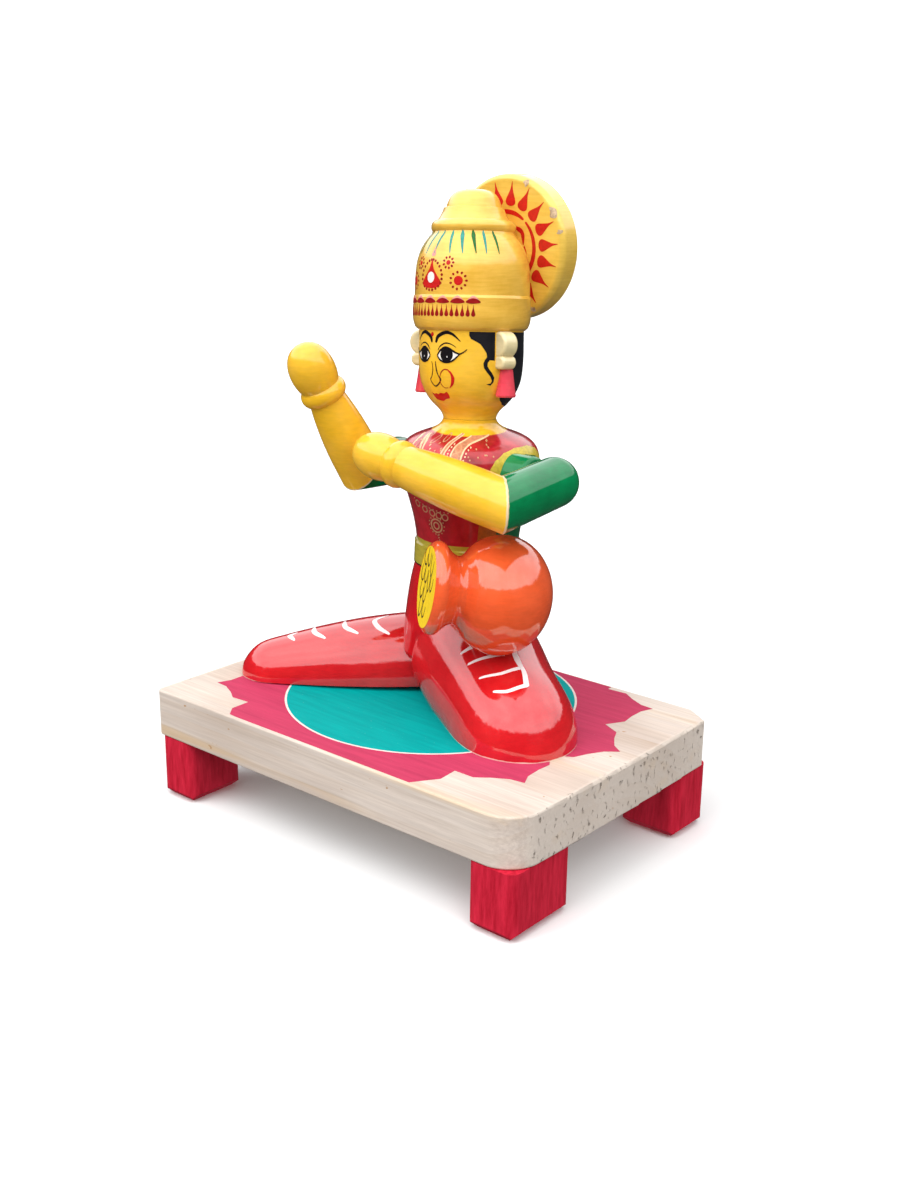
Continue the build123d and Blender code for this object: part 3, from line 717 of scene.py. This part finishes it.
def paint_face():
    skin = round_axis("head", NECK, HEAD_AXIS, FACE_RADIUS)
    both = lambda points: (points, mirrored(points))
    brow = [(-1.4, 179.6), (0.5, 181.3), (5.6, 182.4), (11.6, 183.0), (17.3, 182.6), (21.8, 181.7),
            (27.8, 179.9)]
    crease = [(1.4, 176.8), (4.6, 178.2), (9.5, 179.1), (14.1, 179.2), (18.7, 178.7), (23.2, 177.8)]
    upper_lid = [(1.0, 174.9), (4.4, 176.5), (9.6, 177.6), (14.3, 177.5), (18.8, 176.7), (23.3, 175.9),
                 (27.6, 175.6), (31.5, 176.2), (35.2, 177.2)]
    lower_lid = [(1.2, 174.6), (4.6, 173.3), (9.5, 172.6), (15.4, 172.6), (21.1, 173.5), (27.6, 175.6)]
    eye = upper_lid[:7] + lower_lid[-2:0:-1]
    film("brows", skin, [stroke(skin, side, (0.9, 1.35, 1.3, 1.1, 0.8, 0.25)) for side in both(brow)],
         "ink", "head", cell=0.8)
    film("eye_creases", skin, [stroke(skin, side, (0.2, 0.5, 0.5, 0.35, 0.15)) for side in both(crease)],
         "ink", "head", cell=0.8)
    film("eye_whites", skin, [region(skin, side) for side in both(eye)], "white", "head", cell=0.8)
    film("eye_irises", skin, [oval(skin, side[0], 2.5, 2.55) for side in both([(12.4, 175.15)])],
         "ink", "head", layer=1, cell=0.8)
    film("eye_glints", skin, [oval(skin, (angle, 174.4), 0.22, 0.30, count=10) for angle in (13.2, -21.0)],
         "white", "head", layer=2, cell=0.5)
    lids = [stroke(skin, side, (0.4, 0.75, 0.8, 0.7, 0.6, 0.45, 0.2)) for side in both(upper_lid)]
    lids += [stroke(skin, side, (0.4, 0.65, 0.65, 0.6, 0.4)) for side in both(lower_lid)]
    film("eye_lids", skin, lids, "ink", "head", layer=2, cell=0.6)
    profile = [(-7.8, 172.6), (-6.2, 170.8), (-6.9, 168.8), (-9.2, 167.0), (-11.4, 166.2), (-8.6, 164.5),
               (-4.8, 163.8), (-0.5, 164.4), (3.1, 165.5), (4.3, 166.5), (2.6, 167.1)]
    bridge = [(-2.2, 172.6), (-1.3, 170.7), (-0.2, 168.9), (2.4, 167.0)]
    nose = [stroke(skin, profile, (0.2, 0.38, 0.34, 0.46, 0.52, 0.5, 0.36)),
            stroke(skin, bridge, (0.36, 0.55, 0.36))]
    film("nose_lines", skin, nose, "brown_ink", "head", cell=0.6)
    ring = [(14.2, 169.8), (9.4, 169.9), (5.2, 168.7), (3.0, 166.6), (4.2, 164.6), (8.2, 163.4),
            (13.0, 163.4)]
    film("nose_ring_line", skin, [stroke(skin, ring, (0.5, 0.42, 0.3, 0.25, 0.25, 0.25))],
         "dark_red", "head", cell=0.6)
    crescent = [(12.6, 170.0), (17.4, 169.2), (20.6, 167.6), (21.3, 166.4), (19.6, 164.6), (14.4, 163.2),
                (16.8, 164.8), (17.6, 166.6), (16.6, 168.4)]
    film("nose_ring", skin, [region(skin, crescent)], "red_paint", "head", layer=1, cell=0.6)
    lips = [(-15.9, 161.3), (-12.0, 160.9), (-7.9, 161.2), (-4.2, 160.9), (-0.6, 161.4), (5.5, 161.3),
            (9.2, 161.9), (11.6, 160.9), (11.4, 159.6), (5.7, 159.2), (0.4, 158.5), (-4.6, 158.5),
            (-12.4, 159.1)]
    film("lips", skin, [region(skin, lips)], "red_paint", "head", cell=0.6)
    film("bindi", skin, [oval(skin, (-7.4, 182.2), 0.7, 0.8, count=14)], "red_paint", "head", cell=0.5)
    front_lock = [(37.0, HAIR_TOP), (36.9, 182.2), (38.9, 180.9), (44.3, 180.0), (49.2, 179.1),
                  (52.5, 177.6), (55.8, 176.0), (56.5, 174.6), (54.4, 173.6), (52.7, 172.4), (53.6, 170.7),
                  (57.4, 169.1),
                  (61.6, 167.6), (63.6, 166.2), (62.4, 165.3), (57.4, 164.9), (62.6, 164.5), (65.6, 165.6),
                  (66.2, 167.3), (63.0, 169.0), (59.6, 170.3), (57.4, 171.4), (57.5, 172.6), (59.6, 173.5),
                  (65.5, 173.4), (65.5, HAIR_TOP)]
    film("hair_locks", skin, straight_regions(skin, both(front_lock)), "hair", "head")
    left_edge = [(72.0, HAIR_TOP), (79.0, 172.0), (79.0, 160.6), (84.0, 158.9), (96.0, 157.2),
                 (115.0, 156.3), (145.0, 155.9)]
    whole = left_edge + [(360 + 2 * FACE_MIDDLE - angle, height) for angle, height in reversed(left_edge)]
    film("hair_back", skin, straight_regions(skin, [whole]), "hair", "head", cell=1.6)


# -------- crown and halo
def paint_crown():
    gold = round_axis("crown", NECK, HEAD_AXIS, CROWN_RADIUS)
    leaf_looks = {"leaf_teal": [], "leaf_green": []}
    for k in range(-6, 6):
        angle = -3.2 + 13.9 * k
        slant = 4.0 if 0 < k < 4 else 1.0 if k >= 4 else -2.0
        wide = (1.2, 2.1, 1.2, 0.25) if k in (2, 3) else (0.9, 1.5, 1.0, 0.25)
        mark = stroke(gold, [(angle, 218.2), (angle + slant * 0.35, 215.6), (angle + slant, 210.4)], wide)
        leaf_looks["leaf_green" if k in (3, 5, -2) else "leaf_teal"].append(mark)
    for look, marks in leaf_looks.items():
        film("crown_" + look, gold, marks, look, "head", cell=0.9)
    film("crown_pink_drop", gold, [drop(gold, (-5.4, 213.4), (-5.2, 209.4), 2.1)],
         "pink_wash", "head", cell=0.8)
    film("crown_jewel", gold, [drop(gold, (-5.4, 208.3), (-5.4, 198.3), 9.0)],
         "red_paint", "head", cell=0.9)
    film("crown_jewel_eye", gold, [oval(gold, (-5.5, 202.1), 1.7, 1.9)], "white", "head", layer=1, cell=0.7)
    dots = []
    for k in range(22):
        turn = 2 * math.pi * (k + 0.5) / 22 - math.pi
        angle = -5.4 + 15.0 * math.sin(turn) * (0.62 + 0.38 * math.cos(turn / 2))
        dots.append(oval(gold, (angle, 203.0 - 5.3 * math.cos(turn)), 0.5, 0.5, count=8))
    blossoms, seeds = [], []
    for angle, height, heart, reach, count in ((14.4, 207.2, 0.85, 1.9, 9), (25.5, 201.0, 1.65, 2.9, 11)):
        for middle in (angle, 2 * FACE_MIDDLE - angle - 1.0):
            blossoms.append(oval(gold, (middle, height), heart, heart, count=16))
            for k in range(count):
                turn = 2 * math.pi * k / count
                beside = math.degrees(reach * math.cos(turn) / CROWN_RADIUS)
                spot = (middle + beside, height + reach * math.sin(turn))
                seeds.append(oval(gold, spot, 0.42, 0.52, math.degrees(turn) - 90, count=8))
    film("crown_blossoms", gold, blossoms, "red_paint", "head", cell=0.8)
    film("crown_dots", gold, dots + seeds, "dark_red", "head", cell=0.6)
    rim_from, rim_to = -53.0, 43.5
    humps, washes, pips = [], [], []
    for k in range(7):
        middle = -50.2 + 15.1 * k
        humps.append(region(gold, [(middle - 6.8, 193.5), (middle - 5.0, 194.4), (middle, 195.0),
                                   (middle + 5.0, 194.4), (middle + 6.8, 193.5), (middle, 193.1)]))
        washes.append(region(gold, [(middle - 5.6, 194.3), (middle, 195.9), (middle + 5.6, 194.3),
                                    (middle, 194.6)]))
    angle = rim_from
    while angle < rim_to:
        pips.append(drop(gold, (angle, 192.8), (angle, 188.6), 1.45))
        angle += 5.2
    film("crown_rim_washes", gold, washes, "pink_wash", "head", cell=0.8)
    film("crown_rim_humps", gold, humps, "dark_red", "head", layer=1, cell=0.8)
    film("crown_rim_drops", gold, pips, "dark_red", "head", cell=0.7)


def paint_halo():
    gold = from_front("halo", HALO_CENTRE)

    def polar(angle, radius):
        turn = math.radians(angle)
        return radius * math.cos(turn), radius * math.sin(turn)

    rays = [drop(gold, polar(6.3 + 19.5 * k, 23.9), polar(6.0 + 19.5 * k, 15.1), 4.4) for k in range(-9, 9)]
    film("halo_rays", gold, rays, "red_paint", "head", cell=1.2)
    arcs = []
    for start, end in ((54.0, 128.0), (-72.0, 47.0), (134.0, 284.0)):
        steps = [start + (end - start) * k / 8 for k in range(9)]
        arcs.append(stroke(gold, [polar(angle, 13.0) for angle in steps], (0.9, 1.6, 1.7, 1.5, 0.8)))
    film("halo_ring", gold, arcs, "red_paint", "head", cell=1.0)
    leaves = [stroke(gold, [polar(68 + 60 * k, 8.6), polar(39 + 60 * k, 9.4), polar(10 + 60 * k, 8.2)],
                     (0.3, 1.7, 1.5, 0.2)) for k in range(6)]
    film("halo_leaves", gold, leaves, "red_paint", "head", cell=1.0)
    chips = []
    for middle, length, deep in ((70, 2.3, 1.2), (33, 4.6, 1.5), (16, 1.6, 0.8), (-58, 2.0, 0.8)):
        spread = math.degrees(length / 24.6) / 2
        chips.append(region(gold, [polar(middle - spread, 25.0), polar(middle - spread * 0.4, 24.6 - deep),
                                   polar(middle + spread * 0.3, 25.0 - deep * 0.6),
                                   polar(middle + spread, 24.6), polar(middle + spread * 0.4, 25.9),
                                   polar(middle - spread * 0.5, 25.8)]))
    film("halo_chips", gold, chips, "chipped", "head", layer=1, cell=0.6)


# -------- bodice and belt
def paint_bodice():
    silk_side = round_axis("torso", Vector((0, NECK.y, NECK.z)), UP, BODICE_RADIUS)
    arch = [(52, 125.5), (53.5, 132), (56, 137.6), (60.8, 140.6), (70.4, 142.8), (84.8, 143.8),
            (105.8, 143.6), (117.3, 142.0), (124, 137.6), (127, 125.5)]
    side = [(72, 105.9), (70, 112), (66.5, 120), (64, 128), (64.3, 136.0), (68, 138.3), (74.5, 140.1),
            (84.5, 141.3), (94, 141.4), (109, 139.8), (115.5, 135.5), (118, 127), (118, 115), (117, 105.9)]
    other = lambda points: [(-angle, height) for angle, height in points]
    film("armhole_piping", silk_side, straight_regions(silk_side, (arch, other(arch))),
         "piping", "figure", cell=0.7)
    film("blouse_sides", silk_side, straight_regions(silk_side, (side, other(side))),
         "green_paint", "figure", layer=1, cell=0.7)
    # The bare midriff under each arm: the skin is real, and its darker orange-brown is painted shade where
    # the arm shades it.
    shaded_skin_strip = [(49, 105.9), (50, 115), (52, 125.5), (65, 125.5), (66.5, 120), (70, 112), (72, 105.9)]
    film("side_skin_painted_shade", silk_side, straight_regions(silk_side, (shaded_skin_strip, other(shaded_skin_strip))),
         "shadow_skin", "figure", cell=0.9)
    edges = [[(-42.9, 146.5), (-33.2, 145.6), (-26.9, 144.4), (-22.0, 142.0)],
             [(-31.8, 146.8), (-19.4, 145.4), (-10.9, 143.4), (-7.0, 141.0)],
             [(-29.1, 147.0), (-12.9, 145.2), (-6.6, 142.8), (-3.4, 140.0)],
             [(27.1, 148.4), (16.8, 146.1), (14.7, 143.8), (13.9, 142.0), (13.0, 139.0)],
             [(31.2, 148.2), (21.4, 146.2), (17.8, 143.6), (17.1, 141.8), (16.0, 139.0)],
             [(42.7, 147.8), (27.3, 145.6), (23.7, 143.2), (23.6, 141.4), (23.0, 139.0)],
             [(70.7, 147.8), (44.3, 146.1), (36.0, 144.7), (33.2, 142.8), (31.8, 140.5), (30.6, 138.4)]]
    film("gold_threads", silk_side, [stroke(silk_side, line, (0.3, 0.5, 0.55, 0.4)) for line in edges],
         "gold_thread", "figure", layer=1, cell=0.8)
    bands = straight_regions(silk_side, [edges[low] + edges[high][::-1] for low, high in ((3, 4), (5, 6))])
    film("gold_bands", silk_side, bands, "gold_wash", "figure", cell=0.8)
    beads = [(23.2, 145.5), (21.7, 144.7), (20.8, 143.8), (20.6, 142.8), (20.4, 142.0), (40.7, 144.8),
             (38.5, 144.1), (36.5, 143.1), (35.8, 142.1), (34.5, 140.9), (-2.4, 144.6), (1.2, 143.6),
             (4.4, 142.2)]
    film("bodice_pearls", silk_side, pearls(silk_side, beads), "gold_thread", "figure", layer=1, cell=0.6)
    beads = []
    rings = [(28.9, 144.4), (27.6, 141.9), (-4.2, 146.2), (9.1, 147.0), (-21.5, 146.3), (-16.0, 144.2)]
    loops = []
    for middle in rings:
        loops.append(closed_ring(silk_side, middle, 1.15, 0.28))
    for angle, height in ((-15.5, 122.1), (-6.0, 120.6), (2.6, 119.6), (10.0, 119.0), (16.5, 118.5)):
        loops.append(closed_ring(silk_side, (angle, height), 1.2, 0.42))
    loops.append(closed_ring(silk_side, (5.6, 114.7), 2.6, 0.6))
    loops.append(closed_ring(silk_side, (5.6, 114.7), 1.3, 0.5))
    film("gold_loops", silk_side, [part for loop in loops for part in loop],
         "dull_gold", "figure", layer=1, cell=0.8)
    for k in range(14):
        turn = 2 * math.pi * k / 14
        beads.append((5.6 + math.degrees(3.5 * math.cos(turn) / 22.0), 114.7 + 3.5 * math.sin(turn)))
    for k in range(5):
        beads.append((6.5 + 0.6 * k, 111.0 - 0.95 * k))
    for k in range(11):
        beads.append((-19.0 + 3.9 * k, 123.9 - 1.35 * math.sin(k / 10 * math.pi / 2) * 2.6))
    for k in range(34):
        beads.append((-38 + random.random() * 100, 139.0 + random.random() * 7.6))
    film("gold_beads", silk_side, pearls(silk_side, beads),
         "dull_gold", "figure", layer=1, cell=0.6)


def pearls(surface, spots):
    return [oval(surface, spot, 0.28, 0.28, count=7) for spot in spots]


def closed_ring(surface, middle, radius, width):
    """A painted ring, as two half strokes so that each outline is simple."""
    parts = []
    for start in (0, 180):
        points = []
        for k in range(7):
            turn = math.radians(start + 30 * k)
            flat = surface.flat(*middle) + Vector((radius * math.cos(turn), radius * math.sin(turn)))
            points.append((flat.x / surface.width_of_u, flat.y))
        parts.append(stroke(surface, points, (width, width), ends=False))
    return parts


# -------- legs, pot and stand
def paint_legs():
    right = from_above("right_leg")
    commas = [[(-61.5, -11.0), (-62.7, -13.9), (-58.2, -15.8)],
              [(-58.0, -4.6), (-53.6, -9.0), (-46.9, -9.9)],
              [(-48.2, 2.8), (-43.6, -1.6), (-36.5, -2.0)],
              [(-34.5, 13.5), (-36.0, 7.4), (-31.3, 4.4), (-25.6, 4.4)]]
    film("right_leg_folds", right, [stroke(right, line, (0.6, 1.9, 1.9, 0.7)) for line in commas],
         "stroke_white", "figure", cell=0.9)
    left = from_above("left_leg")
    comb = [[(21.9, -8.7), (25.3, -5.1)],
            [(27.2, -11.2), (32.9, -6.4), (36.6, -2.2)],
            [(35.2, -14.4), (41.6, -10.3), (44.9, -3.9)],
            [(43.8, -17.1), (48.5, -14.8), (51.8, -9.0)]]
    spine = [(37.6, 2.2), (39.7, 0.5), (43.4, -2.0), (47.3, -4.2), (51.9, -8.8)]
    marks = [stroke(left, line, (0.7, 1.2, 1.5)) for line in comb]
    film("left_leg_folds", left, marks, "stroke_white", "figure", cell=0.9)
    film("left_leg_fold_spine", left, [stroke(left, spine, (1.6, 2.4, 1.6, 2.0))], "stroke_white", "figure",
         layer=1, cell=0.9)


def paint_pot():
    mouth = along("pot", POT_CENTRE, POT_AXIS)
    film("pot_mouth", mouth, [oval(mouth, (0, 0), POT_MOUTH, POT_MOUTH, count=48)],
         "yellow_paint", "figure", cell=2.0)
    curls = []
    middles = ((-8.1, 8.7), (-2.6, 10.2), (3.6, 8.6), (-9.4, 2.6), (-4.2, 3.6), (1.4, 2.4), (-7.4, -3.4),
               (-1.9, -3.0), (-4.6, -8.6), (0.9, -8.2), (6.6, 3.4))
    for k, (u, v) in enumerate(middles):
        tall = 2.6 + 0.5 * (k % 3)
        curl = [(u - 2.0, v + tall), (u - 2.3, v - 0.6), (u - 0.6, v - tall), (u + 1.5, v - 1.8),
                (u + 2.4, v + tall * 0.7)]
        curls.append(stroke(mouth, curl, (0.35, 0.62, 0.85, 0.6, 0.3)))
    film("pot_mouth_curls", mouth, curls, "brown_ink", "figure", layer=1, cell=0.9)


LOTUS_CENTRE = Vector((-4.5, 5.3))


def paint_board():
    top = from_above("board")
    tip_radius, notch_radius, petals = 85.4, 70.3, 12
    half_width = (BOARD_HIGH[0] - BOARD_LOW[0]) / MM / 2
    half_depth = (BOARD_HIGH[1] - BOARD_LOW[1]) / MM / 2
    edge = Vector((half_width - 1.6, half_depth - 1.2))
    flower = []
    for k in range(petals):
        middle = 2.5 + 360 / petals * k
        for share, radius in ((-0.5, notch_radius), (-0.36, 76.5), (-0.22, 78.0), (-0.08, 81.0),
                              (0.0, tip_radius), (0.08, 81.0), (0.22, 78.0), (0.36, 76.5)):
            turn = math.radians(middle + share * 360 / petals)
            flower.append(LOTUS_CENTRE + Vector((radius * math.cos(turn), radius * math.sin(turn))))

    def on_board(outline):
        return [Vector((min(max(p.x, -edge.x), edge.x), min(max(p.y, -edge.y), edge.y))) for p in outline]

    rim = oval(top, LOTUS_CENTRE, 56.5, 56.5, count=120)
    heart = oval(top, LOTUS_CENTRE, 55.7, 55.7, count=120)
    film("lotus_petals", top, [on_board(flower)], "lotus", "figure", cell=6.0)
    film("lotus_rim", top, [on_board(rim)], "chalk", "figure", layer=1, cell=6.0)
    film("lotus_heart", top, [on_board(heart)], "teal", "figure", layer=2, cell=6.0)


paint_face()
paint_crown()
paint_halo()
paint_bodice()
paint_legs()
paint_pot()
paint_board()


# -------- studio
def sky_dome():
    """What the wet lacquer mirrors: a bright open sky over a ragged, dark skyline."""
    radius, skyline, ragged = 5.0, 1.7, 1.5
    mesh = bpy.data.meshes.new("sky_dome")
    shape = bmesh.new()
    bmesh.ops.create_uvsphere(shape, u_segments=48, v_segments=24, radius=radius)
    shape.to_mesh(mesh)
    shape.free()
    look = Shader("sky_dome")
    tree_line = look.noise(0.45, detail=7, roughness=0.72)
    uneven = look.calculate("MULTIPLY_ADD", (tree_line, "Fac"), ragged, (look.axes(), "Z"))
    open_sky = look.step(uneven, 0, skyline + ragged / 2, skyline + ragged / 2 + 0.12)
    open_sky.inputs["To Min"].default_value = 0.06
    open_sky.inputs["To Max"].default_value = 2.3
    cloud = look.ramp(look.noise(2.2, detail=4), "Fac", 0.3, 0.7, (0.62, 0.64, 0.68), (1, 1, 1))
    look.surface.inputs["Base Color"].default_value = (0, 0, 0, 1)
    look.link(cloud, "Color", look.surface, "Emission Color")
    look.link(open_sky, "Result", look.surface, "Emission Strength")
    look.gloss(1.0, specular=0.0)
    mesh.materials.append(look.material)
    made = bpy.data.objects.new("sky_dome", mesh)
    made.rotation_euler = (math.radians(-6), math.radians(-5), 0)
    made.visible_camera = False
    made.visible_diffuse = False
    made.visible_shadow = False
    made.visible_transmission = False
    show(made)
    return made


def studio():
    """A pale floor, soft lights and the camera."""
    def sheet(name, corners, bright):
        mesh = bpy.data.meshes.new(name)
        mesh.from_pydata(corners, [], [(0, 1, 2, 3)])
        made = bpy.data.objects.new(name, mesh)
        show(made)
        look = Shader(name)
        tone = look.noise(60 * MM, detail=2)
        shades = look.ramp(tone, "Fac", 0.2, 0.8, (0.82, 0.82, 0.82), (0.86, 0.86, 0.86))
        look.color(shades, "Color")
        look.gloss(0.8, specular=0.1)
        if bright:
            look.surface.inputs["Emission Color"].default_value = (1, 1, 1, 1)
            look.surface.inputs["Emission Strength"].default_value = 1.0
        mesh.materials.append(look.material)
        # Neither sheet shows in the lacquer, so that the lower halves of the pieces stay dark.
        made.visible_glossy = False
        made.visible_diffuse = False
        return made

    size = 6.0
    floor = sheet("floor", [(-size, -size, 0), (size, -size, 0), (size, size, 0), (-size, size, 0)], False)
    back = Vector((-0.64, 0.77, 0)) * size * 0.9
    along_wall = Vector((0.77, 0.64, 0)) * size
    backdrop = sheet("backdrop", [back - along_wall, back + along_wall, back + along_wall + UP * size,
                                  back - along_wall + UP * size], True)

    def soft_sun(name, toward_light, strength, spread, color):
        lamp = bpy.data.lights.new(name, "SUN")
        lamp.energy = strength
        lamp.angle = math.radians(spread)
        lamp.color = color
        made = bpy.data.objects.new(name, lamp)
        made.rotation_euler = Vector(toward_light).to_track_quat("Z", "Y").to_euler()
        made.visible_glossy = False
        show(made)

    soft_sun("sky_opening", (0.20, -0.24, 0.94), 1.9, 58, (1.0, 0.995, 0.98))
    soft_sun("open_front_left", (-0.35, -0.70, 0.62), 2.2, 58, (0.98, 0.99, 1.0))
    soft_sun("open_right", (0.75, -0.25, 0.60), 1.35, 50, (1.0, 1.0, 1.0))
    sky_dome()

    world = bpy.data.worlds.new("world")
    bpy.context.scene.world = world
    world.use_nodes = True
    world.node_tree.nodes["Background"].inputs["Color"].default_value = (0.97, 0.98, 1.0, 1)
    world.node_tree.nodes["Background"].inputs["Strength"].default_value = 0.42
    world.cycles_visibility.glossy = False

    camera_data = bpy.data.cameras.new("camera")
    camera_data.lens = 43.02
    camera_data.sensor_width = 36
    camera = bpy.data.objects.new("camera", camera_data)
    camera.location = (0.33408, -0.38844, 0.249585)
    azimuth, pitch, roll = math.radians(39.93), math.radians(17.745), math.radians(0.712)
    forward = Vector((-math.sin(azimuth) * math.cos(pitch), math.cos(azimuth) * math.cos(pitch),
                      -math.sin(pitch)))
    level = Vector((math.cos(azimuth), math.sin(azimuth), 0))
    upright = level.cross(forward)
    right = level * math.cos(roll) + upright * math.sin(roll)
    over = right.cross(forward)
    camera.rotation_euler = Matrix((right, over, -forward)).transposed().to_euler()
    camera_data.clip_start = 0.01
    show(camera)
    bpy.context.scene.camera = camera
    bpy.context.scene.view_settings.view_transform = "Standard"


studio()
